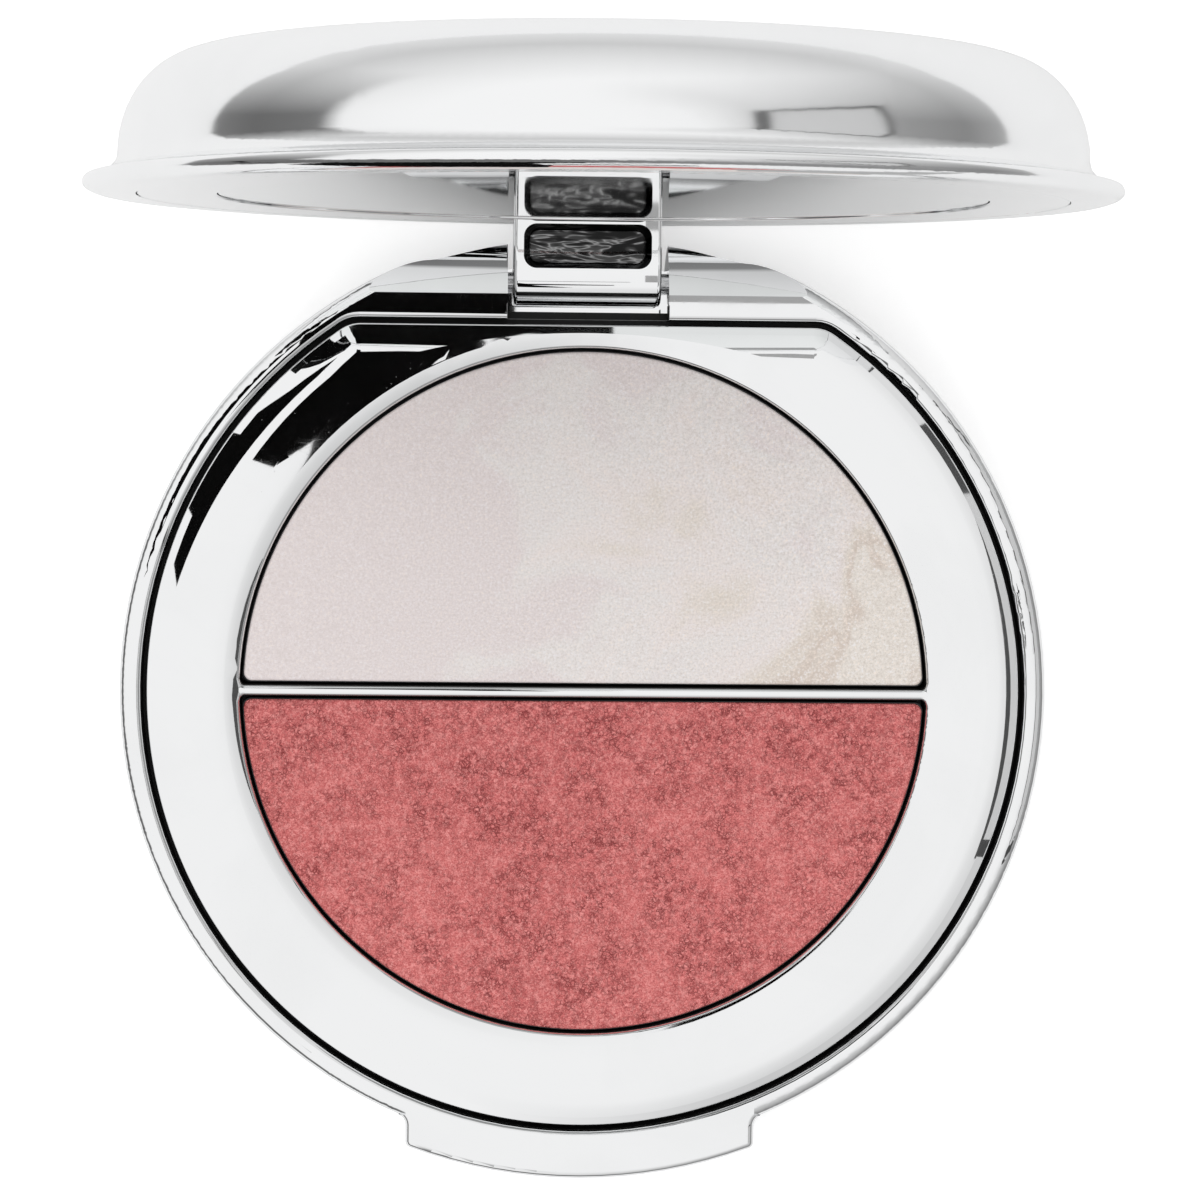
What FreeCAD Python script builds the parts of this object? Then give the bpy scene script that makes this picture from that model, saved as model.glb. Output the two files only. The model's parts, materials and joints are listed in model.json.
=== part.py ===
import FreeCAD, Part
import math
import os

# A round powder compact with a domed lid. Millimetres, +Z up, the table at z = 0.
# The origin is the centre of the base's foot, +X is to the right and +Y points at the hinge.
# The lid is drawn closed and then swung back to its upright rest position.

Vector = FreeCAD.Vector
X_AXIS = Vector(1, 0, 0)
Y_AXIS = Vector(0, 1, 0)
Z_AXIS = Vector(0, 0, 1)

# ---- driving dimensions -------------------------------------------------------------

# Base bowl and rim
base_radius = 39.0
rim_height = 12.0
rim_width = 1.8
rim_inner_fillet = 0.5
rim_lip_height = 0.8
rim_lip_depth = 1.4
rim_lip_overhang = 0.4
rim_crest_inset = 1.08
bowl_inset = 0.7
bowl_top_drop = 2.2
bowl_curve_width = 10.3
base_floor = 1.2
base_wall = 1.3
bowl_corner_allowance = 0.3

# Thumb tab at the front of the rim
tab_half_width = 14.75
tab_reach = 2.25
tab_thickness = 2.2
tab_inner_fillet = 1.0
tab_corner_fillet = 0.5
tab_edge_fillet = 0.6
tab_root_overlap = 0.5

# Bezel insert in the base
groove_width = 0.45
groove_depth = 2.6
notch_wall = 0.65
bezel_corner_radius = 3.0
bezel_crown_drop = 0.1
bezel_outer_drop = 0.5
bezel_outer_fall = 1.7
bezel_fall_blend = 9.0
bezel_inner_drop = 0.75
bezel_inner_fall = 3.2
bezel_wall = 1.2
bezel_seat = 1.8
bezel_flat_seat = 0.5
bezel_hollow_gap = 0.2
well_clearance = 0.33
well_wall = 1.1
well_corner_fillet = 0.45
divider_width = 0.95
well_edge_fillet = 0.4
bezel_edge_fillet = 0.18

# Pans, powders and what they stand on
pan_gap = 0.22
pan_wall = 0.3
pan_height = 2.5
pan_corner_radius = 0.7
powder_recess = 0.3
powder_rise = 0.35
powder_crown = 0.18
powder_overlap = 0.08
powder_edge_fillet = 0.22
glue_thickness = 0.2
glue_margin = 2.5
glue_edge_margin = 4.75
tray_floor = 1.0
tray_wall = 1.4
tray_clearance = 0.15

# Ballast, magnets and label
weight_edge_gap = 0.6
weight_inner_radius = 9.0
weight_thickness = 2.0
magnet_length = 6.0
magnet_width = 1.2
magnet_thickness = 1.8
magnet_clearance = 0.15
label_inset = 8.0
label_thickness = 0.15
label_recess = 0.25
label_gap = 0.2

# Hinge
hinge_inset = 4.4
hinge_drop = 4.75
pin_radius = 0.8
pin_left = 12.0
pin_recess = 1.5
bush_wall = 0.36
pin_clearance = 0.04
knuckle_radius = 2.0
lug_half_width = 6.25
lug_side_gap = 0.5
lug_front_gap = 0.6
lug_bottom_gap = 1.2
knuckle_edge_fillet = 0.35
pocket_side_wall = 0.85
pocket_depth = 1.3
pocket_taper = 0.5
pocket_bottom = 1.1
pocket_top_land = 0.1
pocket_corner_radius = 1.1
pocket_floor_fillet = 0.2
shoulder_crest_inset = 1.15
shoulder_mid_reach = 1.9
shoulder_mid_drop = 1.65
shoulder_end_reach = 3.75
shoulder_end_drop = 4.3

# Lid
lid_gap = 0.2
lid_flange_width = 2.6
lid_wall_foot = 3.0
lid_shoulder_width = 6.6
lid_shoulder_height = 7.6
lid_crown_slope = 0.075
lid_wall = 1.2
lid_lip_height = 0.75
lid_lip_thickness = 0.55
lid_lip_round = 0.4
lid_face_inset = 1.7
lid_ledge_width = 1.4
lid_ledge_height = 0.9
lid_ledge_slope = 0.4

# Mirror and its frame
frame_inset = 1.4
frame_clearance = 0.04
frame_thickness = 1.0
frame_wall = 1.2
frame_wall_margin = 0.05
frame_edge_fillet = 0.15
frame_face_width = 6.0
mirror_recess = 0.15
mirror_clearance = 0.08
mirror_thickness = 1.5
mirror_glue_thickness = 0.3
mirror_glue_inset = 1.9
backing_thickness = 1.0
backing_lap = 1.4
backing_clearance = 0.15

# Rest position of the lid
lid_open_angle = 90.0

# How far a cutting solid runs past what it cuts, and how many steps the dome's shoulder is drawn in
overcut = 1.0
dome_steps = 12

# How close two places are taken as one, and how many places along an edge are looked at
same_place = 0.01
edge_samples = 7

# ---- derived places -----------------------------------------------------------------

hinge_y = base_radius - hinge_inset
hinge_z = rim_height - hinge_drop
bore_radius = pin_radius + pin_clearance + bush_wall
slot_half_width = lug_half_width + lug_side_gap
slot_front = hinge_y - knuckle_radius - lug_front_gap
pocket_half_width = lug_half_width - pocket_side_wall

bowl_radius = base_radius - bowl_inset
bowl_top = rim_height - bowl_top_drop
foot_radius = bowl_radius - bowl_curve_width
label_radius = foot_radius - label_inset

groove_radius = base_radius - rim_width
groove_flat = slot_front - notch_wall
bezel_radius = groove_radius - groove_width
bezel_flat = groove_flat - groove_width
bezel_seat_z = rim_height - groove_depth
cavity_radius = bezel_radius - bezel_seat
cavity_flat = bezel_flat - bezel_flat_seat
well_outer_radius = cavity_flat - well_clearance
well_radius = well_outer_radius - well_wall

pan_radius = well_radius - pan_gap
pan_flat = divider_width / 2 + pan_gap
pan_top = rim_height - bezel_inner_drop - powder_recess - powder_rise
pan_bottom = pan_top - pan_height
tray_top = pan_bottom - glue_thickness

lid_plane = rim_height + lid_gap
lid_wall_radius = base_radius - lid_flange_width
frame_radius = lid_wall_radius - frame_inset
lid_ledge_radius = frame_radius - lid_ledge_width
mirror_opening_radius = frame_radius - frame_face_width
mirror_radius = mirror_opening_radius - mirror_clearance
mirror_back = mirror_recess + mirror_thickness
backing_radius = mirror_opening_radius + backing_lap
backing_low = mirror_back + mirror_glue_thickness
frame_wall_height = backing_low + backing_thickness + frame_wall_margin


# ---- drawing helpers ----------------------------------------------------------------

def point(radius, z):
    """A point in the half plane that a turned piece's outline is drawn in."""
    return Vector(radius, 0, z)


def line(start, end):
    return Part.makeLine(start, end)


def arc(start, middle, end):
    return Part.Arc(start, middle, end).toShape()


def rounded(upright, level):
    """A quarter ellipse that leaves one point vertically and reaches the other one level."""
    curve = Part.BezierCurve()
    curve.setPoles([upright, point(upright.x, level.z), level])
    curve.setWeight(2, math.sqrt(0.5))
    return curve.toShape()


def crowned(edge_point, top):
    """A shallow parabola that rises from an edge and is level at the middle."""
    curve = Part.BezierCurve()
    curve.setPoles([edge_point, point((edge_point.x + top.x) / 2, top.z), top])
    return curve.toShape()


def turned(edges):
    """A solid of revolution about Z from a closed outline in the XZ plane."""
    face = Part.Face(Part.Wire(Part.__sortEdges__(edges)))
    solid = face.revolve(Vector(0, 0, 0), Z_AXIS, 360)
    return outward(solid)


def outward(solid):
    if solid.Volume < 0:
        solid.reverse()
    return solid


def disc(radius, z_low, z_high):
    return Part.makeCylinder(radius, z_high - z_low, Vector(0, 0, z_low))


def ring(inner, outer, z_low, z_high):
    return disc(outer, z_low, z_high).cut(disc(inner, z_low, z_high))


def block(x_low, x_high, y_low, y_high, z_low, z_high):
    return Part.makeBox(x_high - x_low, y_high - y_low, z_high - z_low, Vector(x_low, y_low, z_low))


def along_x(outline_edges, x_low, x_high):
    """A prism along X from a closed outline that is drawn in the plane x = 0."""
    face = Part.Face(Part.Wire(outline_edges))
    prism = face.extrude(Vector(x_high - x_low, 0, 0))
    prism.translate(Vector(x_low, 0, 0))
    return outward(prism)


def d_prism(radius, flat, z_low, z_high, corner=0.0):
    """A cylinder with a flat on its +Y side, and rounded corners where the flat meets the round."""
    solid = disc(radius, z_low, z_high)
    solid = solid.cut(block(-2 * radius, 2 * radius, flat, 2 * radius, z_low, z_high))
    if corner > 0:
        corners = [edge for edge in vertical_edges(solid) if abs(edge.Vertexes[0].Y - flat) < same_place]
        solid = solid.makeFillet(corner, corners)
    return solid


def vertical_edges(solid):
    edges = []
    for edge in solid.Edges:
        ends = edge.Vertexes
        if len(ends) == 2 and edge.Curve.TypeId == "Part::GeomLine":
            across = math.hypot(ends[0].X - ends[1].X, ends[0].Y - ends[1].Y)
            if across < same_place and abs(ends[0].Z - ends[1].Z) > same_place:
                edges.append(edge)
    return edges


def edges_at_height(solid, z):
    """The edges that lie flat at one height."""
    return [edge for edge in solid.Edges
            if not edge.Degenerated
            and abs(edge.BoundBox.ZMin - z) < same_place and abs(edge.BoundBox.ZMax - z) < same_place]


def reach_of(edge):
    """How far from the Z axis an edge gets."""
    return max(math.hypot(spot.x, spot.y) for spot in edge.discretize(edge_samples))


def hinge_cylinder(radius, x_low, x_high):
    return Part.makeCylinder(radius, x_high - x_low, Vector(x_low, hinge_y, hinge_z), X_AXIS)


# ---- base shell ---------------------------------------------------------------------

def rim_edges():
    """The rolled rim, from the bowl's wall out over the lip and up to its crest."""
    tip = point(base_radius, rim_height - rim_lip_height)
    underside = point(base_radius - rim_lip_overhang, rim_height - rim_lip_depth)
    crest = point(base_radius - rim_crest_inset, rim_height)
    return [
        rounded(point(bowl_radius, bowl_top), underside),
        rounded(tip, underside),
        rounded(tip, crest),
        line(crest, point(0, rim_height)),
    ]


def base_outline():
    foot_edge = point(foot_radius, 0)
    edges = [
        line(point(0, rim_height), point(0, 0)),
        line(point(0, 0), foot_edge),
        rounded(point(bowl_radius, bowl_top), foot_edge),
    ]
    return edges + rim_edges()


def bowl_inside():
    """The room inside the bowl's wall."""
    foot_edge = point(foot_radius - bowl_corner_allowance, base_floor)
    wall_foot = point(bowl_radius - base_wall, bowl_top)
    wall_top = point(wall_foot.x, rim_height)
    return turned([
        line(point(0, base_floor), foot_edge),
        rounded(wall_foot, foot_edge),
        line(wall_foot, wall_top),
        line(wall_top, point(0, rim_height)),
        line(point(0, rim_height), point(0, base_floor)),
    ])


def thumb_tab():
    """A wide tab, concentric with the rim, that carries on the rim's flat top."""
    top = rim_height
    bottom = top - tab_thickness
    reach = base_radius + tab_reach
    tab = ring(groove_radius + groove_width, reach, bottom, top)
    tab = tab.common(block(-tab_half_width, tab_half_width, -2 * reach, 0, bottom, top))
    corners = [edge for edge in vertical_edges(tab)
               if reach_of(edge) > base_radius + tab_inner_fillet]
    tab = tab.makeFillet(tab_corner_fillet, corners)
    for side in (1, -1):
        tab = tab.fuse(tab_root(side, bottom, top))
    tab = tab.removeSplitter()
    outer = [edge for edge in edges_at_height(tab, top) + edges_at_height(tab, bottom)
             if math.hypot(edge.CenterOfMass.x, edge.CenterOfMass.y) > base_radius]
    return tab.makeFillet(tab_edge_fillet, outer)


def tab_root(side, bottom, top):
    """The small fillet where the tab's straight side runs into the round rim."""
    centre_x = tab_half_width + tab_inner_fillet
    centre_y = -math.sqrt((base_radius + tab_inner_fillet) ** 2 - centre_x ** 2)
    touch_y = centre_y * base_radius / (base_radius + tab_inner_fillet)
    web = block(tab_half_width - tab_root_overlap, centre_x, centre_y, touch_y, bottom, top)
    web = web.cut(Part.makeCylinder(tab_inner_fillet, top - bottom, Vector(centre_x, centre_y, bottom)))
    if side < 0:
        web = web.mirror(Vector(0, 0, 0), X_AXIS)
    return web


def shoulder_slope():
    """What is cut from the rim behind the hinge so that the lid's flange can swing past."""
    crest = Vector(0, hinge_y - shoulder_crest_inset, rim_height)
    middle = Vector(0, hinge_y + shoulder_mid_reach, rim_height - shoulder_mid_drop)
    end = Vector(0, hinge_y + shoulder_end_reach, rim_height - shoulder_end_drop)
    outside = 2 * base_radius
    top = rim_height + overcut
    edges = [
        arc(crest, middle, end),
        line(end, Vector(0, outside, end.z)),
        line(Vector(0, outside, end.z), Vector(0, outside, top)),
        line(Vector(0, outside, top), Vector(0, crest.y, top)),
        line(Vector(0, crest.y, top), crest),
    ]
    return along_x(edges, -base_radius, base_radius)


def lug_slot():
    """The slot between the shoulders, open to the back, that the lid's lug swings in."""
    bottom = hinge_z - knuckle_radius - lug_bottom_gap
    outside = 2 * base_radius
    slot = block(-slot_half_width, slot_half_width, slot_front, outside, bottom, rim_height + overcut)
    step = block(-slot_half_width, slot_half_width, groove_flat - groove_width / 2, outside,
                 bezel_seat_z, rim_height + overcut)
    return slot.fuse(step)


def base_shell():
    body = turned(base_outline())
    body = body.fuse(thumb_tab()).removeSplitter()
    room = d_prism(groove_radius, groove_flat, bezel_seat_z, rim_height + overcut, bezel_corner_radius)
    cavity = d_prism(cavity_radius, cavity_flat, 0, bezel_seat_z + overcut, bezel_corner_radius)
    body = body.cut(room)
    body = body.makeFillet(rim_inner_fillet, [edge for edge in edges_at_height(body, rim_height)
                                              if reach_of(edge) < base_radius - rim_crest_inset])
    body = body.cut(cavity.common(bowl_inside()))
    body = body.cut(shoulder_slope())
    body = body.cut(lug_slot())
    body = body.cut(hinge_cylinder(pin_radius, -pin_left, 2 * base_radius))
    body = body.cut(disc(label_radius + label_gap, -overcut, label_recess))
    return body


# ---- bezel insert -------------------------------------------------------------------

def bezel_block(top):
    """A D-shaped block whose upper edge falls away all round, in one soft roll."""
    shoulder_z = rim_height - bezel_outer_drop
    lower = d_prism(bezel_radius, bezel_flat, bezel_seat_z, shoulder_z, bezel_corner_radius)
    upper = d_prism(bezel_radius - bezel_outer_fall, bezel_flat - bezel_outer_fall, shoulder_z, top,
                    bezel_corner_radius - bezel_outer_fall)
    foot = Part.Wire(Part.__sortEdges__(edges_at_height(lower, shoulder_z)))
    brow = Part.Wire(Part.__sortEdges__(edges_at_height(upper, top)))
    slope = outward(Part.makeLoft([foot, brow], True, True))
    solid = lower.fuse(slope).removeSplitter()
    solid = solid.makeFillet(bezel_fall_blend, edges_at_height(solid, top))
    return solid.makeFillet(bezel_edge_fillet, edges_at_height(solid, shoulder_z))


def under_inner_fall(top):
    """Everything that lies under the slope that runs down to the well."""
    brow = point(well_radius + bezel_inner_fall, top)
    lip = point(well_radius, rim_height - bezel_inner_drop)
    outside = bezel_radius + overcut
    return turned([
        line(point(0, 0), point(outside, 0)),
        line(point(outside, 0), point(outside, top + overcut)),
        line(point(outside, top + overcut), point(brow.x, top + overcut)),
        line(point(brow.x, top + overcut), brow),
        crowned(lip, brow),
        line(lip, point(0, lip.z)),
        line(point(0, lip.z), point(0, 0)),
    ])


def half_moon(radius, flat, z_low, z_high, corner, side):
    """Half a disc on one side of the divider, with rounded corners at the straight edge."""
    solid = disc(radius, z_low, z_high)
    solid = solid.common(block(-2 * radius, 2 * radius, flat, 2 * radius, z_low, z_high))
    solid = solid.makeFillet(corner, vertical_edges(solid))
    if side < 0:
        solid = solid.mirror(Vector(0, 0, 0), Y_AXIS)
    return solid


def bezel_insert():
    top = rim_height - bezel_crown_drop
    hollow_top = top - bezel_wall
    plate = bezel_block(top).fuse(disc(well_outer_radius, tray_top, bezel_seat_z + overcut))
    hollow = d_prism(cavity_radius - bezel_hollow_gap, cavity_flat - bezel_hollow_gap, bezel_seat_z,
                     hollow_top, bezel_corner_radius)
    hollow = hollow.cut(disc(well_outer_radius, bezel_seat_z, hollow_top))
    insert = plate.cut(hollow).common(under_inner_fall(top))
    for side in (1, -1):
        well = half_moon(well_radius, divider_width / 2, 0, top + overcut, well_corner_fillet, side)
        insert = insert.cut(well)
    well_edge_z = rim_height - bezel_inner_drop
    edges = [edge for edge in insert.Edges
             if edge.BoundBox.ZMin > well_edge_z - well_edge_fillet
             and reach_of(edge) < well_radius + same_place]
    return insert.makeFillet(well_edge_fillet, edges)


# ---- pans, powders and tray ---------------------------------------------------------

def pan(side):
    body = half_moon(pan_radius, pan_flat, pan_bottom, pan_top, pan_corner_radius, side)
    room = half_moon(pan_radius - pan_wall, pan_flat + pan_wall, pan_bottom + pan_wall, pan_top + overcut,
                     pan_corner_radius - pan_wall, side)
    return body.cut(room)


def powder(side):
    """Pressed powder: it fills the pan, covers the pan's rim and stands slightly crowned."""
    fill = half_moon(pan_radius - pan_wall, pan_flat + pan_wall, pan_bottom + pan_wall, pan_top,
                     pan_corner_radius - pan_wall, side)
    rim = point(pan_radius, pan_top + powder_rise)
    top = point(0, rim.z + powder_crown)
    under_crown = turned([
        line(point(0, 0), point(pan_radius, 0)),
        line(point(pan_radius, 0), rim),
        crowned(rim, top),
        line(top, point(0, 0)),
    ])
    head = half_moon(pan_radius - powder_overlap, pan_flat + powder_overlap, pan_top, top.z + overcut,
                     pan_corner_radius, side)
    head = head.common(under_crown)
    upper = [edge for edge in head.Edges if edge.BoundBox.ZMin > pan_top + powder_rise / 2]
    head = head.makeFillet(powder_edge_fillet, upper)
    return fill.fuse(head).removeSplitter()


def pan_glue(side):
    return half_moon(pan_radius - glue_edge_margin, pan_flat + glue_margin, tray_top, pan_bottom,
                     pan_corner_radius, side)


def pan_tray():
    outer = cavity_flat - tray_clearance
    floor_z = tray_top - tray_floor
    floor = disc(outer, floor_z, tray_top)
    skirt = ring(outer - tray_wall, outer, base_floor, floor_z)
    return floor.fuse(skirt).removeSplitter().common(bowl_inside())


# ---- ballast, magnets, label, pin -----------------------------------------------------

def base_weight():
    outer = foot_radius - bowl_corner_allowance - weight_edge_gap
    return ring(weight_inner_radius, outer, base_floor, base_floor + weight_thickness)


def magnet(y_far, z_low):
    """A bar magnet at the front, with its far face at y = -y_far."""
    half = magnet_length / 2
    return block(-half, half, -y_far, -y_far + magnet_width, z_low, z_low + magnet_thickness)


def magnet_reach(radius):
    """How far out a bar magnet can stand with its corners inside a round wall."""
    return math.sqrt((radius - magnet_clearance) ** 2 - (magnet_length / 2) ** 2)


def base_magnet():
    top = rim_height - bezel_crown_drop - bezel_wall
    return magnet(magnet_reach(lid_ledge_radius), top - magnet_thickness)


def shade_label():
    return disc(label_radius, label_recess - label_thickness, label_recess)


def hinge_pin():
    right = math.sqrt(bowl_radius ** 2 - hinge_y ** 2) - pin_recess
    return hinge_cylinder(pin_radius, -pin_left, right)


# ---- lid ------------------------------------------------------------------------------

def dome_edges(shoulder_width, shoulder_height, wall_foot):
    """A wall that rises into an elliptical shoulder and runs tangent into the shallow crown."""
    centre_radius = lid_wall_radius - lid_shoulder_width
    turn = math.atan2(shoulder_height, lid_crown_slope * shoulder_width)

    def on_shoulder(angle):
        return point(centre_radius + shoulder_width * math.cos(angle),
                     lid_plane + wall_foot + shoulder_height * math.sin(angle))

    shoulder = [on_shoulder(turn * step / dome_steps) for step in range(dome_steps + 1)]
    curve = Part.BSplineCurve()
    curve.interpolate(Points=shoulder, InitialTangent=Vector(0, 0, 1),
                      FinalTangent=Vector(-1, 0, lid_crown_slope))
    crown_radius = shoulder[-1].x / math.sin(math.atan(lid_crown_slope))
    crown_centre = shoulder[-1].z - math.sqrt(crown_radius ** 2 - shoulder[-1].x ** 2)
    top = point(0, crown_centre + crown_radius)
    half_way = shoulder[-1].x / 2
    middle = point(half_way, crown_centre + math.sqrt(crown_radius ** 2 - half_way ** 2))
    return [curve.toShape(), arc(shoulder[-1], middle, top)], shoulder[0], top


def lid_shell():
    outer, outer_start, outer_top = dome_edges(lid_shoulder_width, lid_shoulder_height, lid_wall_foot)
    inner, inner_start, inner_top = dome_edges(lid_shoulder_width - lid_wall, lid_shoulder_height - lid_wall,
                                               lid_wall_foot)
    seat_z = lid_plane + frame_thickness
    ledge_z = seat_z + lid_ledge_height
    mouth = frame_radius + frame_clearance
    face_end = point(base_radius - lid_face_inset, lid_plane)
    tip = point(base_radius, lid_plane + lid_lip_height)
    lip_top = point(base_radius - lid_lip_round, tip.z + lid_lip_thickness)
    ledge_end = point(inner_start.x, ledge_z + lid_ledge_slope)
    edges = [
        line(point(mouth, lid_plane), face_end),
        rounded(tip, face_end),
        rounded(tip, lip_top),
        rounded(outer_start, lip_top),
    ]
    edges += outer
    edges.append(line(outer_top, inner_top))
    edges += inner
    edges += [
        line(inner_start, ledge_end),
        line(ledge_end, point(lid_ledge_radius, ledge_z)),
        line(point(lid_ledge_radius, ledge_z), point(lid_ledge_radius, seat_z)),
        line(point(lid_ledge_radius, seat_z), point(mouth, seat_z)),
        line(point(mouth, seat_z), point(mouth, lid_plane)),
    ]
    return turned(edges)


def lug():
    """The lid's hinge lug: a block that ends in a round knuckle, with a pocket in its front face."""
    front = hinge_y - knuckle_radius
    back = hinge_y + knuckle_radius
    edges = [
        line(Vector(0, front, lid_plane), Vector(0, front, hinge_z)),
        arc(Vector(0, front, hinge_z), Vector(0, hinge_y, hinge_z - knuckle_radius),
            Vector(0, back, hinge_z)),
        line(Vector(0, back, hinge_z), Vector(0, back, lid_plane)),
        line(Vector(0, back, lid_plane), Vector(0, front, lid_plane)),
    ]
    body = along_x(edges, -lug_half_width, lug_half_width)
    sides = [edge for edge in body.Edges
             if edge.BoundBox.XLength < same_place and edge.BoundBox.ZLength > same_place]
    body = body.makeFillet(knuckle_edge_fillet, sides)
    body = body.cut(lug_pocket(front))
    return body.cut(hinge_cylinder(bore_radius, -2 * lug_half_width, 2 * lug_half_width))


def pocket_outline(y, inset):
    """A rounded rectangle across the lug's pocket, drawn at one depth."""
    side = pocket_half_width - inset
    low = hinge_z + pocket_bottom + inset
    high = lid_plane - pocket_top_land - inset
    corner = pocket_corner_radius - inset / 2
    slant = corner * (1 - math.sqrt(0.5))
    edges = []
    for turn in (0, 1, 2, 3):
        across = side if turn in (0, 3) else -side
        level = high if turn in (0, 1) else low
        inward_x = math.copysign(1, -across)
        inward_z = 1 if level == low else -1
        upright = Vector(across, y, level + inward_z * corner)
        flat = Vector(across + inward_x * corner, y, level)
        middle = Vector(across + inward_x * slant, y, level + inward_z * slant)
        ends = (upright, flat) if turn in (0, 2) else (flat, upright)
        edges.append((ends[0], middle, ends[1]))
    outline = []
    for place, (start, middle, end) in enumerate(edges):
        outline.append(arc(start, middle, end))
        outline.append(line(end, edges[(place + 1) % len(edges)][0]))
    return Part.Wire(outline)


def lug_pocket(front):
    """The lug's pocket: its four walls lean inwards and run into the floor in a fillet."""
    mouth_taper = -pocket_taper * overcut / pocket_depth
    mouth = pocket_outline(front - overcut, mouth_taper)
    floor = pocket_outline(front + pocket_depth, pocket_taper)
    pocket = outward(Part.makeLoft([mouth, floor], True, True))
    floor_edges = [edge for edge in pocket.Edges
                   if abs(edge.BoundBox.YMin - front - pocket_depth) < same_place]
    return pocket.makeFillet(pocket_floor_fillet, floor_edges)


def mirror_frame():
    """A flat ring with a raised wall behind: the mirror fills it and its backing sits on a ledge."""
    back = lid_plane + frame_thickness
    ledge = lid_plane + backing_low
    room = backing_radius + backing_clearance
    plate = ring(mirror_opening_radius, frame_radius, lid_plane, back)
    plate = plate.makeFillet(frame_edge_fillet, edges_at_height(plate, lid_plane))
    seat = ring(mirror_opening_radius, room + frame_wall, back, ledge)
    wall = ring(room, room + frame_wall, ledge, lid_plane + frame_wall_height)
    return plate.fuse(seat).fuse(wall).fuse(lug()).removeSplitter()


def mirror():
    return disc(mirror_radius, lid_plane + mirror_recess, lid_plane + mirror_back)


def mirror_glue():
    return disc(mirror_radius - mirror_glue_inset, lid_plane + mirror_back, lid_plane + backing_low)


def mirror_backing():
    low = lid_plane + backing_low
    return disc(backing_radius, low, low + backing_thickness)


def lid_magnet():
    return magnet(magnet_reach(lid_ledge_radius), lid_plane + frame_thickness)


def hinge_bush():
    outer = hinge_cylinder(bore_radius, -lug_half_width, lug_half_width)
    return outer.cut(hinge_cylinder(pin_radius + pin_clearance, -2 * lug_half_width, 2 * lug_half_width))


# ---- assembly -------------------------------------------------------------------------

base_nodes = {
    "base_shell": base_shell(),
    "bezel_insert": bezel_insert(),
    "pan_tray": pan_tray(),
    "highlighter_pan": pan(1),
    "blush_pan": pan(-1),
    "highlighter_powder": powder(1),
    "blush_powder": powder(-1),
    "highlighter_pan_glue": pan_glue(1),
    "blush_pan_glue": pan_glue(-1),
    "base_weight": base_weight(),
    "base_magnet": base_magnet(),
    "hinge_pin": hinge_pin(),
    "shade_label": shade_label(),
}

lid_nodes = {
    "lid_shell": lid_shell(),
    "mirror_frame": mirror_frame(),
    "hinge_bush": hinge_bush(),
    "mirror": mirror(),
    "mirror_glue": mirror_glue(),
    "mirror_backing": mirror_backing(),
    "lid_magnet": lid_magnet(),
}

for solid in lid_nodes.values():
    solid.rotate(Vector(0, hinge_y, hinge_z), X_AXIS, -lid_open_angle)

os.makedirs("parts", exist_ok=True)
for name, solid in {**base_nodes, **lid_nodes}.items():
    solid.exportStep("parts/" + name + ".step")
    box = solid.BoundBox
    print("%-22s solids %d valid %s volume %8.1f  x %7.2f %7.2f  y %7.2f %7.2f  z %7.2f %7.2f" % (
        name, len(solid.Solids), solid.isValid(), solid.Volume,
        box.XMin, box.XMax, box.YMin, box.YMax, box.ZMin, box.ZMax))
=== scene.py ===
import json
import bmesh
import bpy
from mathutils import Matrix, Vector

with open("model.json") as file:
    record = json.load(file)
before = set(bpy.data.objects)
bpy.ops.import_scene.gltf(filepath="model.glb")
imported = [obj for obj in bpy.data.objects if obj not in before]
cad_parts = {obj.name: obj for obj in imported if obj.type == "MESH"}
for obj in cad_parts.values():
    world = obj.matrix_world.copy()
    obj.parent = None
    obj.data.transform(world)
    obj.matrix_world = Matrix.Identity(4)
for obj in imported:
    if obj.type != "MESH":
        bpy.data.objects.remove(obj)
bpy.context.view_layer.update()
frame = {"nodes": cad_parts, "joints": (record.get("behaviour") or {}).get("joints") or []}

# A chromed powder compact, open, in metres. The table is at z = 0 and +Y points at the hinge.

MM = 0.001


def span(node):
    """The low and high corners of a node's box, in millimetres."""
    corners = frame["nodes"][node].bound_box
    return Vector(corners[0]) / MM, Vector(corners[6]) / MM


# ---- camera and studio --------------------------------------------------------------

CAMERA_PLACE = (-0.0108, 0.0240, 0.3220)
CAMERA_RIGHT = (0.9992, 0.0106, 0.0382)
CAMERA_UP = (-0.0085, 0.9986, -0.0523)
CAMERA_LENS = 110.97
SENSOR_WIDTH = 36.0
NEAR_LIMIT = 0.01

FLOOR_SIZE = 0.56
FLOOR_GAP = 0.0002
OVERHEAD_PLACE = (-0.15, 0.1, 1.2)
OVERHEAD_SIZE = 1.0
OVERHEAD_POWER = 6.0

# Brightness of the studio by the sine of the height above the horizon: left, right and behind
SKY_LOW = -0.3
SKY_LEFT = [(-0.3, 0.2), (0.0, 0.14), (0.33, 0.17), (0.42, 0.9), (0.7, 0.93), (1.0, 0.93)]
SKY_RIGHT = [(-0.3, 0.4), (0.0, 0.24), (0.3, 0.3), (0.5, 0.42), (0.8, 0.62), (0.93, 0.9), (1.0, 0.93)]
SKY_BACK = [(-0.3, 0.75), (0.0, 0.6), (0.3, 0.75), (0.7, 0.93), (1.0, 0.93)]

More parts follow.
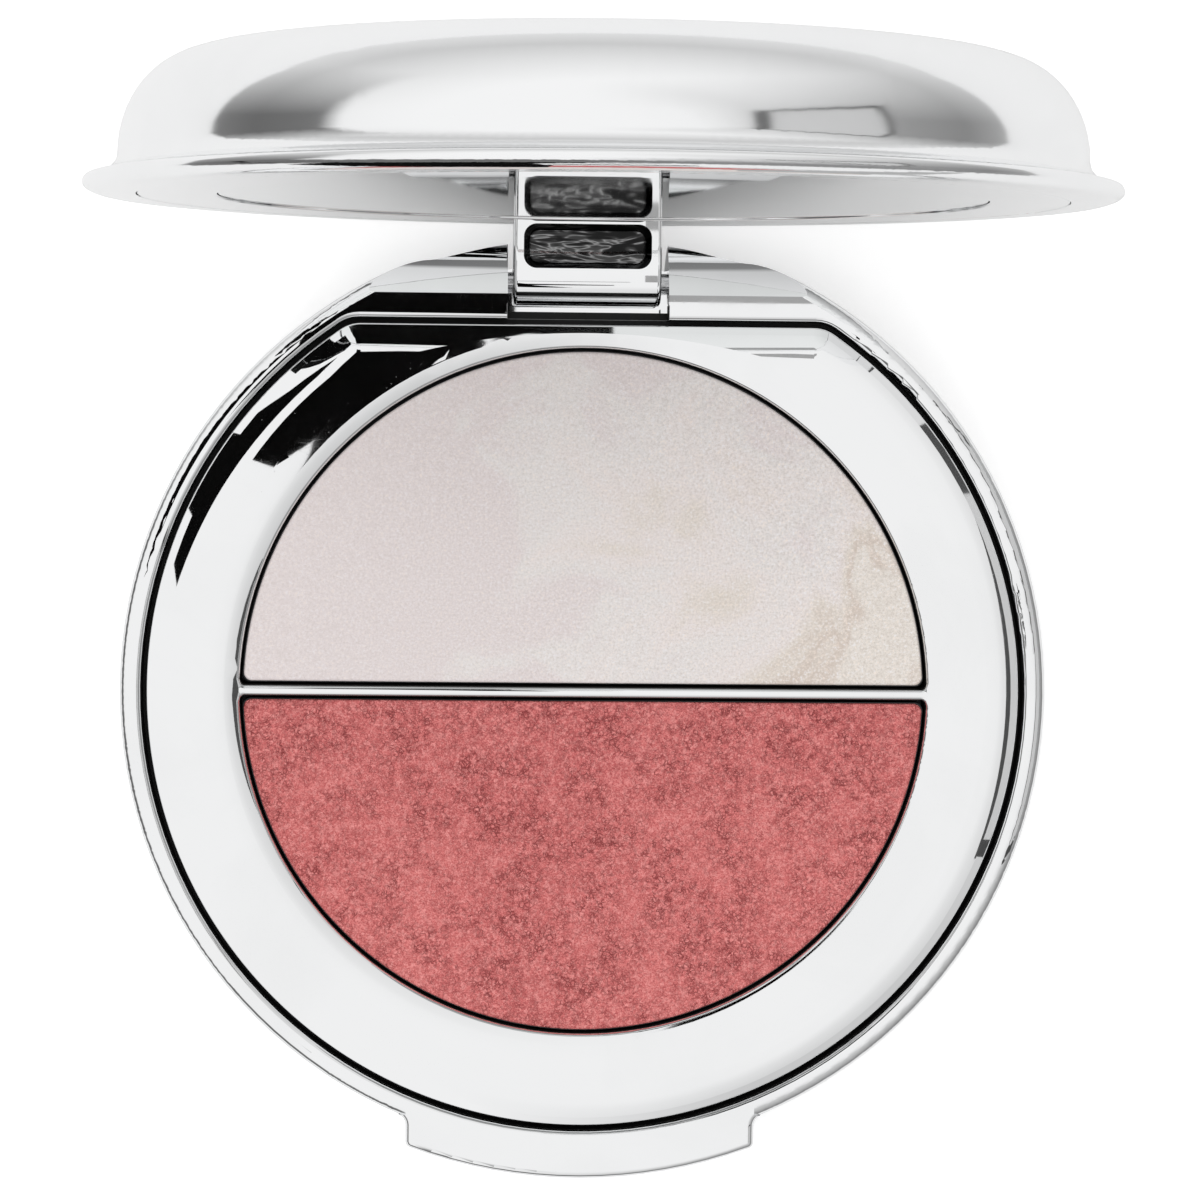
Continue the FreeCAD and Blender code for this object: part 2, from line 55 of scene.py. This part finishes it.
# Panels that the bright pieces mirror, as corners in millimetres: (x, y) at one height, or (x, y, z)
FLAG_HEIGHT = 72.0
FLAGS = {
    "inner_flag": [(-33, 19), (-27, 29), (-25, 36), (-5, 36), (-5, 31), (-7, 26), (-4, 19.5), (5, 18.5),
                   (5, 16.2), (-3.5, 14), (1, 0), (-3, -1), (-13, 9), (-24, 16)],
    "outer_flag": [(-66, 17), (-66, 39), (-30.5, 39), (-31, 34), (-37, 28), (-46, 20.5), (-57, 10)],
    "barrel_flag": [(-5.5, 26.5), (-5.5, 29), (6.5, 29), (6.5, 26.5)],
}
SHOULDER_CARD = [(8, 34.6), (8, 37.4), (27, 37.4), (25, 34.6)]
WINDOW = [(500, -200, 290), (500, 260, 290), (420, 260, 640), (420, -200, 640)]
WINDOW_SURROUND = [(509, -225, 275), (509, 285, 275), (416, 285, 725), (416, -225, 725)]
FLAG_BLACK = (0.004, 0.004, 0.004)
CARD_GREY = (0.1, 0.1, 0.1)
CARD_GLOW = 0.32
WINDOW_GREY = (0.42, 0.42, 0.42)
WINDOW_GLOW = 0.3

# ---- where shade is painted into the plating, in millimetres ------------------------

# Shade is painted dark down the insert's well, and on the base shell in the seam round the insert
insert_low, insert_high = span("bezel_insert")
WELL_DARK_Z = insert_high.z - 0.78
SEAM_DARK_Z = insert_high.z - 0.6
SEAM_FLOOR_Z = insert_low.z + 1.3
SEAM_RADIUS = insert_high.x + 0.49
SEAM_FLAT = insert_high.y + 0.48

# The land between the seam and the lug's slot, where shade is painted dark too
bush_side = span("hinge_bush")[1].x
LAND_SIDE = bush_side + 0.55
LAND_BACK = insert_high.y + 1.7

# The lug's pocket, as the open lid holds it, where shade and pale reflection streaks are painted
hinge_y, hinge_z = (value / MM for value in frame["joints"][0]["pos_m"][1:])
POCKET_SIDE = bush_side - 0.87
POCKET_FRONT_Y = hinge_y + 1.05
POCKET_MOUTH_Z = hinge_z + 1.95
POCKET_FLOOR_Z = hinge_z + 0.77

MASK_BLUR = 0.02

# ---- tones --------------------------------------------------------------------------

PLATE_TONE = (0.93, 0.935, 0.94)
LID_PLATE_TONE = (0.965, 0.97, 0.975)
# Black painted into the chrome where it lies in shade: a rough non-metal
PAINTED_SHADE_TONE = (0.006, 0.006, 0.006)
# Painted shade on the side walls of the lug's pocket
POCKET_WALL_SHADE = (0.012, 0.012, 0.012)
PLATE_GLOSS = 0.015
LID_PLATE_GLOSS = 0.1
RIPPLE = 0.000004

# Painted shade on the pocket's floor, with pale painted reflection streaks along its waves
POCKET_FLOOR_SHADE_AND_GLINTS = [(0.0, 0.006), (0.44, 0.02), (0.5, 0.06), (0.535, 0.3), (0.57, 0.07), (0.7, 0.015),
                  (1.0, 0.1)]

# From cool pink on the left to warm champagne on the right
HIGHLIGHTER_TONES = [(0.0, (0.71, 0.64, 0.635)), (0.2, (0.735, 0.695, 0.68)), (0.42, (0.755, 0.69, 0.67)),
                     (0.66, (0.70, 0.635, 0.575)), (0.85, (0.63, 0.54, 0.475)), (1.0, (0.73, 0.675, 0.62))]
WARM_FLECK = (0.9, 0.8, 0.72)
COOL_FLECK = (0.88, 0.86, 0.88)
FLECK_SHADOW = (0.5, 0.43, 0.38)

BLUSH_DEEP = (0.57, 0.135, 0.13)
BLUSH_CLEAR = (0.64, 0.165, 0.158)
BLUSH_PALE = (0.86, 0.33, 0.31)
BLUSH_SPECK = (0.9, 0.34, 0.32)
BLUSH_DARK = (0.36, 0.06, 0.066)
BLUSH_CRACK = (0.22, 0.026, 0.028)

# Rings printed on the label, in millimetres: how far in from its edge, and half their width
LABEL_RING_INSETS = (2.2, 1.4)
LABEL_RING_INNER = 0.12
LABEL_RING_OUTER = 0.16

# The sockets of a Mix node that blends colours
MIX_FACTOR = 0
MIX_FIRST = 6
MIX_SECOND = 7
MIX_RESULT = 2


def make_camera():
    right = Vector(CAMERA_RIGHT).normalized()
    up = Vector(CAMERA_UP)
    up = (up - right * up.dot(right)).normalized()
    back = right.cross(up)
    data = bpy.data.cameras.new("camera")
    data.sensor_width = SENSOR_WIDTH
    data.lens = CAMERA_LENS
    data.clip_start = NEAR_LIMIT
    camera = bpy.data.objects.new("camera", data)
    turn = Matrix((right, up, back)).transposed().to_4x4()
    camera.matrix_world = Matrix.Translation(CAMERA_PLACE) @ turn
    bpy.context.collection.objects.link(camera)
    bpy.context.scene.camera = camera


# ---- node helpers -------------------------------------------------------------------

def feed(tree, socket, value):
    """Links a socket to another one, or sets it to a number, a colour or a vector."""
    if isinstance(value, bpy.types.NodeSocket):
        tree.links.new(value, socket)
    elif socket.type == "RGBA":
        socket.default_value = (*value, 1.0)
    else:
        socket.default_value = value


def build(tree, kind, given, result, **settings):
    """A node with its settings and its inputs, by name or number; gives back one of its outputs."""
    node = tree.nodes.new(kind)
    for key, value in settings.items():
        setattr(node, key, value)
    for label, value in given.items():
        feed(tree, node.inputs[label], value)
    return node.outputs[result]


def place(tree):
    return build(tree, "ShaderNodeTexCoord", {}, "Object")


def split(tree, vector):
    """The X, Y and Z of a place."""
    return build(tree, "ShaderNodeSeparateXYZ", {"Vector": vector}, "X").node.outputs


def scaled(tree, vector, scale, turn=(0.0, 0.0, 0.0)):
    given = {"Vector": vector, "Rotation": turn, "Scale": scale}
    return build(tree, "ShaderNodeMapping", given, "Vector")


def from_centre(tree, vector):
    """Distance from the upright line through the compact's centre."""
    flat = scaled(tree, vector, (1.0, 1.0, 0.0))
    return build(tree, "ShaderNodeVectorMath", {0: flat}, "Value", operation="LENGTH")


def noise(tree, vector, scale, detail=3.0, roughness=0.5, distortion=0.0, result="Fac"):
    given = {"Vector": vector, "Scale": scale, "Detail": detail, "Roughness": roughness,
             "Distortion": distortion}
    return build(tree, "ShaderNodeTexNoise", given, result)


def cells(tree, vector, scale, feature="DISTANCE_TO_EDGE"):
    return build(tree, "ShaderNodeTexVoronoi", {"Vector": vector, "Scale": scale}, "Distance",
                 feature=feature)


def spread(tree, value, low, high, out_low=0.0, out_high=1.0):
    given = {"Value": value, "From Min": low, "From Max": high, "To Min": out_low, "To Max": out_high}
    return build(tree, "ShaderNodeMapRange", given, "Result")


def calc(tree, operation, first, second=0.0, third=0.0):
    return build(tree, "ShaderNodeMath", {0: first, 1: second, 2: third}, "Value", operation=operation)


def times(tree, first, second):
    return calc(tree, "MULTIPLY", first, second)


def flip(tree, mask):
    return calc(tree, "SUBTRACT", 1.0, mask)


def bent(tree, vector, shift, reach):
    """A place moved by up to a small reach, so that lines drawn there aren't straight."""
    given = {0: shift, 1: (reach, reach, reach), 2: vector}
    return build(tree, "ShaderNodeVectorMath", given, "Vector", operation="MULTIPLY_ADD")


def blend_colours(tree, factor, first, second):
    given = {MIX_FACTOR: factor, MIX_FIRST: first, MIX_SECOND: second}
    return build(tree, "ShaderNodeMix", given, MIX_RESULT, data_type="RGBA")


def ramp(tree, value, stops):
    colour = build(tree, "ShaderNodeValToRGB", {"Fac": value}, "Color")
    points = colour.node.color_ramp.elements
    points[0].position, points[1].position = stops[0][0], stops[-1][0]
    points[0].color, points[1].color = (*stops[0][1], 1.0), (*stops[-1][1], 1.0)
    for position, tone in stops[1:-1]:
        points.new(position).color = (*tone, 1.0)
    return colour


def greys(stops):
    return [(position, (light, light, light)) for position, light in stops]


def new_material(name, **fixed):
    """A material with a plain shader, and the values that are the same all over it."""
    material = bpy.data.materials.new(name)
    material.use_nodes = True
    tree = material.node_tree
    tree.nodes.clear()
    output = tree.nodes.new("ShaderNodeOutputMaterial")
    shader = tree.nodes.new("ShaderNodeBsdfPrincipled")
    tree.links.new(shader.outputs["BSDF"], output.inputs["Surface"])
    for label, value in fixed.items():
        feed(tree, shader.inputs[label.replace("_", " ")], value)
    return material, tree, shader


def wear(tree, shader, colour, rough, height, depth):
    """Gives a shader its colour, its roughness and the relief of its skin."""
    tree.links.new(colour, shader.inputs["Base Color"])
    tree.links.new(rough, shader.inputs["Roughness"])
    relief = build(tree, "ShaderNodeBump", {"Strength": 1.0, "Distance": depth, "Height": height}, "Normal")
    tree.links.new(relief, shader.inputs["Normal"])


def new_group(name, numbers, results):
    """A shader node group with named number inputs, and results that vary over the surface."""
    group = bpy.data.node_groups.new(name, "ShaderNodeTree")
    for label, value in numbers:
        socket = group.interface.new_socket(label, in_out="INPUT", socket_type="NodeSocketFloat")
        socket.default_value = value
    for label in results:
        group.interface.new_socket(label, in_out="OUTPUT", socket_type="NodeSocketFloat")
    given = group.nodes.new("NodeGroupInput")
    taken = group.nodes.new("NodeGroupOutput")
    return group, given.outputs, taken.inputs


def use_group(tree, group, **values):
    node = tree.nodes.new("ShaderNodeGroup")
    node.node_tree = group
    for label, value in values.items():
        node.inputs[label.replace("_", " ")].default_value = value
    return node.outputs


# ---- shared effects -----------------------------------------------------------------

def handling_marks():
    """Soft smudges, hairline scratches and sparse dust, as masks."""
    group, given, taken = new_group(
        "handling_marks", [("Smudge Scale", 60.0), ("Scratch Scale", 900.0), ("Dust Scale", 2500.0)],
        ["Smudge", "Scratch", "Dust"])
    where = place(group)
    smudge = noise(group, where, given["Smudge Scale"], 5.0, 0.6, 0.6)
    group.links.new(spread(group, smudge, 0.48, 0.72), taken["Smudge"])

    sway = noise(group, where, 35.0, 2.0, result="Color")
    drawn = scaled(group, bent(group, where, sway, 0.004), (0.12, 1.0, 1.0), (0.4, 0.3, 0.7))
    thin = spread(group, cells(group, drawn, given["Scratch Scale"]), 0.0, 0.012, 1.0, 0.0)
    patches = spread(group, noise(group, where, 170.0, 2.0), 0.56, 0.66)
    group.links.new(times(group, thin, patches), taken["Scratch"])

    specks = cells(group, where, given["Dust Scale"], "F1")
    dots = spread(group, specks, 0.05, 0.14, 1.0, 0.0)
    chance = build(group, "ShaderNodeSeparateColor", {"Color": specks.node.outputs["Color"]}, "Red")
    rare = calc(group, "GREATER_THAN", chance, 0.93)
    group.links.new(times(group, dots, rare), taken["Dust"])
    return group


def cell_crackle():
    """A suede-like web of short broken cracks round small uneven cells, and the grain in between."""
    group, given, taken = new_group(
        "cell_crackle", [("Cell Scale", 2400.0), ("Crack Width", 0.16)], ["Crack", "Cell", "Grain"])
    where = place(group)
    uneven = bent(group, where, noise(group, where, 1900.0, 3.0, 0.6, result="Color"), 0.0006)
    webs = []
    for finer, weight in ((1.0, 1.0), (1.9, 0.6)):
        edge = cells(group, uneven, times(group, given["Cell Scale"], finer))
        crack = spread(group, edge, 0.0, given["Crack Width"], weight, 0.0)
        broken = spread(group, noise(group, where, 1500.0 * finer, 2.0, 0.6), 0.4, 0.58)
        webs.append(times(group, crack, broken))
    patches = spread(group, noise(group, where, 300.0, 4.0, 0.6), 0.35, 0.6, 0.35, 1.0)
    web = times(group, calc(group, "MAXIMUM", *webs), patches)
    group.links.new(web, taken["Crack"])
    tint = cells(group, uneven, times(group, given["Cell Scale"], 1.3), "F1").node.outputs["Color"]
    group.links.new(build(group, "ShaderNodeSeparateColor", {"Color": tint}, "Green"), taken["Cell"])
    group.links.new(noise(group, where, 7500.0, 2.0, 0.7), taken["Grain"])
    return group


def metal_grain():
    """Rolling lines of sheet metal, as a height."""
    group, given, taken = new_group("metal_grain", [("Line Scale", 900.0)], ["Lines"])
    drawn = scaled(group, place(group), (0.03, 1.0, 1.0))
    group.links.new(noise(group, drawn, given["Line Scale"], 4.0, 0.65), taken["Lines"])
    return group


MARKS = handling_marks()
CRACKLE = cell_crackle()
ROLLED = metal_grain()


# ---- where shade is painted on a piece ----------------------------------------------

def below(tree, value, limit):
    """1 below a height or distance in millimetres, 0 above it."""
    return spread(tree, value, (limit - MASK_BLUR) * MM, (limit + MASK_BLUR) * MM, 1.0, 0.0)


def beside(tree, across, limit):
    """1 within a distance of the middle plane, in millimetres."""
    return below(tree, calc(tree, "ABSOLUTE", across), limit)


def well_painted_shade(tree):
    """Painted shade on the insert: down its well and under its outer edge."""
    return below(tree, split(tree, place(tree))["Z"], WELL_DARK_Z)


def seam_painted_shade(tree):
    """Painted shade on the base shell: in the seam round the insert, and on the land before the slot."""
    where = place(tree)
    axes = split(tree, where)
    inside_flat = below(tree, axes["Y"], SEAM_FLAT)
    seam = times(tree, below(tree, axes["Z"], SEAM_DARK_Z),
                 below(tree, from_centre(tree, where), SEAM_RADIUS))
    seam = times(tree, seam, inside_flat)
    land = times(tree, below(tree, axes["Y"], LAND_BACK), flip(tree, inside_flat))
    land = times(tree, land, beside(tree, axes["X"], LAND_SIDE))
    above_floor = flip(tree, below(tree, axes["Z"], SEAM_FLOOR_Z))
    return times(tree, calc(tree, "MAXIMUM", seam, land), above_floor)


def pocket_shade(tree, colour):
    """The lug's pocket: painted shade on its side walls, and on its floor painted shade with wavy pale
    streaks of painted reflection.
    """
    where = place(tree)
    axes = split(tree, where)
    waves = noise(tree, scaled(tree, where, (0.22, 1.0, 1.0)), 900.0, 2.0, 0.5, 1.6)
    floor_shade_and_glints = ramp(tree, waves, greys(POCKET_FLOOR_SHADE_AND_GLINTS))
    inside = times(tree, below(tree, axes["Z"], POCKET_MOUTH_Z), beside(tree, axes["X"], POCKET_SIDE))
    inside = times(tree, inside, flip(tree, below(tree, axes["Y"], POCKET_FRONT_Y)))
    pocket = blend_colours(tree, below(tree, axes["Z"], POCKET_FLOOR_Z), POCKET_WALL_SHADE, floor_shade_and_glints)
    return blend_colours(tree, inside, colour, pocket)


# ---- finishes -----------------------------------------------------------------------

def chrome(name, tone=PLATE_TONE, gloss=PLATE_GLOSS, smudged=0.035, painted_dark=None, shade=None):
    """Bright plating on moulded plastic: a faint ripple, thin smudges and a few hairlines, with painted
    shade where a mask is given.
    """
    material, tree, shader = new_material(name, Metallic=1.0)
    marks = use_group(tree, MARKS)
    dull = tuple(part * 0.9 for part in tone)
    colour = blend_colours(tree, times(tree, marks["Smudge"], 0.3), tone, dull)
    rough = calc(tree, "MULTIPLY_ADD", marks["Smudge"], smudged, gloss)
    rough = calc(tree, "ADD", rough, times(tree, marks["Scratch"], 0.05))
    rough = calc(tree, "ADD", rough, times(tree, marks["Dust"], 0.2))
    # Painted shade and painted reflection streaks from the given function
    if shade is not None:
        colour = shade(tree, colour)
    # Painted shade: where the mask is 1 the plating turns a rough black non-metal
    if painted_dark is not None:
        shade_paint = painted_dark(tree)
        colour = blend_colours(tree, shade_paint, colour, PAINTED_SHADE_TONE)
        rough = calc(tree, "ADD", rough, times(tree, shade_paint, 0.6))
        tree.links.new(flip(tree, shade_paint), shader.inputs["Metallic"])
    wear(tree, shader, colour, rough, noise(tree, place(tree), 110.0, 1.0), RIPPLE)
    return material


def silvered_glass():
    """Mirror glass, a little hazed by handling, with dull specks of dust."""
    material, tree, shader = new_material("silvered_glass", Metallic=1.0)
    marks = use_group(tree, MARKS, Smudge_Scale=45.0)
    colour = blend_colours(tree, times(tree, marks["Dust"], 0.5), (0.9, 0.915, 0.91), (0.7, 0.7, 0.68))
    tree.links.new(colour, shader.inputs["Base Color"])
    tree.links.new(spread(tree, marks["Smudge"], 0.0, 1.0, 0.035, 0.06), shader.inputs["Roughness"])
    return material


def plain_plastic(name, tone, rough, grain):
    """Moulded plastic with a fine spark-eroded grain and a little wear in its gloss."""
    material, tree, shader = new_material(name)
    marks = use_group(tree, MARKS, Smudge_Scale=120.0)
    worn = tuple(min(1.0, part * 1.25 + 0.01) for part in tone)
    wear(tree, shader, blend_colours(tree, marks["Smudge"], tone, worn),
         spread(tree, marks["Smudge"], 0.0, 1.0, rough, rough * 0.8),
         noise(tree, place(tree), 2600.0, 3.0), grain)
    return material


def sheet_steel(name, tone, rough, line_scale):
    """Rolled steel or tinplate, with its rolling lines and darker handled patches."""
    material, tree, shader = new_material(name, Metallic=1.0)
    lines = use_group(tree, ROLLED, Line_Scale=line_scale)["Lines"]
    marks = use_group(tree, MARKS, Smudge_Scale=90.0)
    dark = tuple(part * 0.7 for part in tone)
    wear(tree, shader, blend_colours(tree, marks["Smudge"], tone, dark),
         spread(tree, lines, 0.3, 0.7, rough * 0.75, rough * 1.25), lines, 0.00002)
    return material


def highlighter_powder():
    """Pearly pressed powder: cool pink, milky white and warm champagne run into each other."""
    material, tree, shader = new_material("highlighter_powder", Sheen_Weight=0.1)
    where = place(tree)
    axes = split(tree, where)
    drift = noise(tree, where, 70.0, 4.0, 0.6, 0.8)
    warm = calc(tree, "ADD", times(tree, axes["X"], 22.0), times(tree, axes["Y"], -16.0))
    warm = calc(tree, "ADD", warm, spread(tree, drift, 0.3, 0.7, -0.2, 0.75))
    tone = ramp(tree, warm, HIGHLIGHTER_TONES)
    pearl = noise(tree, where, 4600.0, 2.0, 0.8)
    hue = noise(tree, where, 4300.0, 1.0, 0.5)
    stronger = spread(tree, axes["X"], -0.02, 0.024, 0.55, 1.0)
    lit = times(tree, spread(tree, pearl, 0.5, 0.68), stronger)
    dim = times(tree, spread(tree, pearl, 0.48, 0.32), stronger)
    fleck = blend_colours(tree, spread(tree, hue, 0.42, 0.58), WARM_FLECK, COOL_FLECK)
    tone = blend_colours(tree, times(tree, lit, 0.75), tone, fleck)
    tone = blend_colours(tree, times(tree, dim, 0.5), tone, FLECK_SHADOW)
    tree.links.new(times(tree, lit, 0.2), shader.inputs["Metallic"])
    swell = times(tree, noise(tree, where, 260.0, 2.0), 1.5)
    grain = calc(tree, "ADD", noise(tree, where, 3300.0, 4.0, 0.7), swell)
    wear(tree, shader, tone, spread(tree, pearl, 0.4, 0.7, 0.6, 0.35), grain, 0.00003)
    return material


def blush_powder():
    """Matte rose powder whose pressed skin is cracked into small leathery cells."""
    material, tree, shader = new_material("blush_powder")
    crackle = use_group(tree, CRACKLE, Cell_Scale=3000.0, Crack_Width=0.19)
    drift = noise(tree, place(tree), 55.0, 3.0)
    body = blend_colours(tree, spread(tree, drift, 0.35, 0.65), BLUSH_DEEP, BLUSH_CLEAR)
    body = blend_colours(tree, spread(tree, crackle["Cell"], 0.5, 1.0, 0.0, 0.6), body, BLUSH_PALE)
    body = blend_colours(tree, spread(tree, crackle["Grain"], 0.5, 0.7, 0.0, 0.75), body, BLUSH_DARK)
    body = blend_colours(tree, spread(tree, crackle["Grain"], 0.5, 0.3, 0.0, 0.7), body, BLUSH_SPECK)
    body = blend_colours(tree, crackle["Crack"], body, BLUSH_CRACK)
    sunk = calc(tree, "SUBTRACT", times(tree, crackle["Grain"], 0.35), crackle["Crack"])
    wear(tree, shader, body, spread(tree, crackle["Cell"], 0.0, 1.0, 0.8, 0.6), sunk, 0.00005)
    return material


def glue():
    """Dried glue, cloudy and slightly lumpy."""
    material, tree, shader = new_material("glue")
    drift = noise(tree, place(tree), 150.0, 3.0)
    wear(tree, shader, blend_colours(tree, drift, (0.62, 0.6, 0.55), (0.78, 0.76, 0.7)),
         spread(tree, drift, 0.3, 0.7, 0.35, 0.5), drift, 0.0001)
    return material


def sintered_magnet():
    """Grey sintered magnet with fine pores."""
    material, tree, shader = new_material("sintered_magnet", Metallic=0.9)
    pores = noise(tree, place(tree), 4000.0, 4.0, 0.7)
    wear(tree, shader, blend_colours(tree, pores, (0.16, 0.16, 0.17), (0.4, 0.4, 0.41)),
         spread(tree, pores, 0.3, 0.7, 0.35, 0.55), pores, 0.00002)
    return material


def label_paper():
    """A glossy film label with a faint fibre under its coat and two thin printed rings."""
    material, tree, shader = new_material("label_paper")
    where = place(tree)
    fibre = noise(tree, where, 1800.0, 4.0, 0.7)
    paper = blend_colours(tree, fibre, (0.78, 0.77, 0.76), (0.88, 0.87, 0.86))
    far = from_centre(tree, where)
    label_radius = span("shade_label")[1].x
    for inset in LABEL_RING_INSETS:
        off = calc(tree, "ABSOLUTE", calc(tree, "SUBTRACT", far, (label_radius - inset) * MM))
        printed = spread(tree, off, LABEL_RING_INNER * MM, LABEL_RING_OUTER * MM, 1.0, 0.0)
        paper = blend_colours(tree, printed, paper, (0.2, 0.2, 0.21))
    wear(tree, shader, paper, spread(tree, fibre, 0.3, 0.7, 0.25, 0.4), fibre, 0.00001)
    return material


def floor_paper():
    """White paper on a lit table: the glow shows only to the eye and not in the bright pieces."""
    material, tree, shader = new_material("floor_paper", Roughness=0.9, Emission_Strength=1.0)
    shader.inputs["Specular IOR Level"].default_value = 0.1
    drift = noise(tree, place(tree), 8.0, 2.0)
    paper = blend_colours(tree, drift, (0.79, 0.79, 0.79), (0.81, 0.81, 0.81))
    tree.links.new(paper, shader.inputs["Base Color"])
    seen = build(tree, "ShaderNodeLightPath", {}, "Is Camera Ray")
    glow = blend_colours(tree, seen, (0.0, 0.0, 0.0), (0.4, 0.4, 0.4))
    tree.links.new(glow, shader.inputs["Emission Color"])
    return material


# ---- dressing -----------------------------------------------------------------------

def dress(node, material):
    piece = frame["nodes"][node]
    for slot in piece.material_slots:
        slot.material = material
    if not piece.material_slots:
        piece.data.materials.append(material)


def dress_all():
    adhesive = glue()
    magnet = sintered_magnet()
    tin = sheet_steel("tinplate", (0.05, 0.05, 0.052), 0.4, 900.0)
    finishes = {
        # The base, the insert and the frame carry painted shade in their chrome
        "base_shell": chrome("chrome_base", painted_dark=seam_painted_shade),
        "bezel_insert": chrome("chrome_insert", painted_dark=well_painted_shade),
        "mirror_frame": chrome("chrome_frame", shade=pocket_shade),
        "lid_shell": chrome("chrome_lid", LID_PLATE_TONE, LID_PLATE_GLOSS, 0.03),
        "pan_tray": plain_plastic("black_plastic", (0.012, 0.012, 0.013), 0.5, 0.00003),
        "highlighter_pan": tin,
        "blush_pan": tin,
        "highlighter_powder": highlighter_powder(),
        "blush_powder": blush_powder(),
        "highlighter_pan_glue": adhesive,
        "blush_pan_glue": adhesive,
        "mirror_glue": adhesive,
        "base_weight": sheet_steel("ballast_steel", (0.42, 0.42, 0.43), 0.4, 500.0),
        "base_magnet": magnet,
        "lid_magnet": magnet,
        "hinge_pin": sheet_steel("pin_steel", (0.66, 0.66, 0.67), 0.2, 1600.0),
        "shade_label": label_paper(),
        "hinge_bush": plain_plastic("bush_plastic", (0.8, 0.79, 0.74), 0.4, 0.00002),
        "mirror": silvered_glass(),
        "mirror_backing": plain_plastic("backing_board", (0.1, 0.1, 0.105), 0.7, 0.00004),
    }
    for node, material in finishes.items():
        dress(node, material)


# ---- floor, lights and reflectors ---------------------------------------------------

def make_floor():
    mesh = bpy.data.meshes.new("floor")
    form = bmesh.new()
    bmesh.ops.create_grid(form, x_segments=1, y_segments=1, size=FLOOR_SIZE / 2)
    bmesh.ops.translate(form, vec=(0.0, 0.0, -FLOOR_GAP), verts=form.verts)
    form.to_mesh(mesh)
    form.free()
    floor = bpy.data.objects.new("floor", mesh)
    bpy.context.collection.objects.link(floor)
    mesh.materials.append(floor_paper())


def card_paper(name, tone, glow):
    """Matte card for a studio panel, lit from within if it has a glow."""
    material, tree, shader = new_material(name, Roughness=1.0)
    shader.inputs["Specular IOR Level"].default_value = 0.0
    weave = noise(tree, place(tree), 30.0, 2.0)
    lighter = tuple(part * 1.1 for part in tone)
    tree.links.new(blend_colours(tree, weave, tone, lighter), shader.inputs["Base Color"])
    if glow > 0.0:
        shader.inputs["Emission Color"].default_value = (1.0, 1.0, 1.0, 1.0)
        shader.inputs["Emission Strength"].default_value = glow
    return material


def reflector(name, corners, tone, glow=0.0):
    """A flat panel that shows only as a reflection in the bright pieces."""
    mesh = bpy.data.meshes.new(name)
    form = bmesh.new()
    form.faces.new([form.verts.new(Vector(corner) * MM) for corner in corners])
    form.to_mesh(mesh)
    form.free()
    panel = bpy.data.objects.new(name, mesh)
    bpy.context.collection.objects.link(panel)
    mesh.materials.append(card_paper(name, tone, glow))
    panel.visible_camera = False
    panel.visible_diffuse = False
    panel.visible_shadow = False
    panel.visible_transmission = False


def overhead(corners):
    """A panel's corners at the flags' height."""
    return [(x, y, FLAG_HEIGHT) for x, y in corners]


def make_reflectors():
    """Black flags over the hinge side, a grey card over the right shoulder and a window on the right."""
    for name, corners in FLAGS.items():
        reflector(name, overhead(corners), FLAG_BLACK)
    reflector("shoulder_card", overhead(SHOULDER_CARD), CARD_GREY, CARD_GLOW)
    reflector("window", WINDOW, WINDOW_GREY, WINDOW_GLOW)
    reflector("window_surround", WINDOW_SURROUND, CARD_GREY)


def sky_ramp(tree, height, stops):
    level = spread(tree, height, SKY_LOW, 1.0)
    return ramp(tree, level, greys([((sine - SKY_LOW) / (1.0 - SKY_LOW), light) for sine, light in stops]))


def make_sky(tree):
    """A studio that is white overhead and behind, and grey low down on both sides."""
    sky = tree.nodes["Background"]
    axes = split(tree, build(tree, "ShaderNodeTexCoord", {}, "Generated"))
    left, right, back = (sky_ramp(tree, axes["Z"], stops) for stops in (SKY_LEFT, SKY_RIGHT, SKY_BACK))
    studio = blend_colours(tree, spread(tree, axes["X"], -0.1, 0.25), left, right)
    studio = blend_colours(tree, spread(tree, axes["Y"], 0.25, 0.75), studio, back)
    seen = build(tree, "ShaderNodeLightPath", {}, "Is Camera Ray")
    tree.links.new(blend_colours(tree, seen, studio, (1.0, 1.0, 1.0)), sky.inputs["Color"])
    sky.inputs["Strength"].default_value = 1.0


def make_overhead_light():
    data = bpy.data.lights.new("overhead", "AREA")
    data.shape = "DISK"
    data.size = OVERHEAD_SIZE
    data.energy = OVERHEAD_POWER
    lamp = bpy.data.objects.new("overhead", data)
    bpy.context.collection.objects.link(lamp)
    lamp.location = OVERHEAD_PLACE
    lamp.rotation_euler = (-Vector(OVERHEAD_PLACE)).to_track_quat("-Z", "Y").to_euler()
    lamp.visible_glossy = False


def make_lights():
    world = bpy.data.worlds.new("studio")
    bpy.context.scene.world = world
    world.use_nodes = True
    make_sky(world.node_tree)
    make_overhead_light()


make_camera()
make_floor()
make_lights()
make_reflectors()
dress_all()
bpy.context.scene.view_settings.view_transform = "Standard"
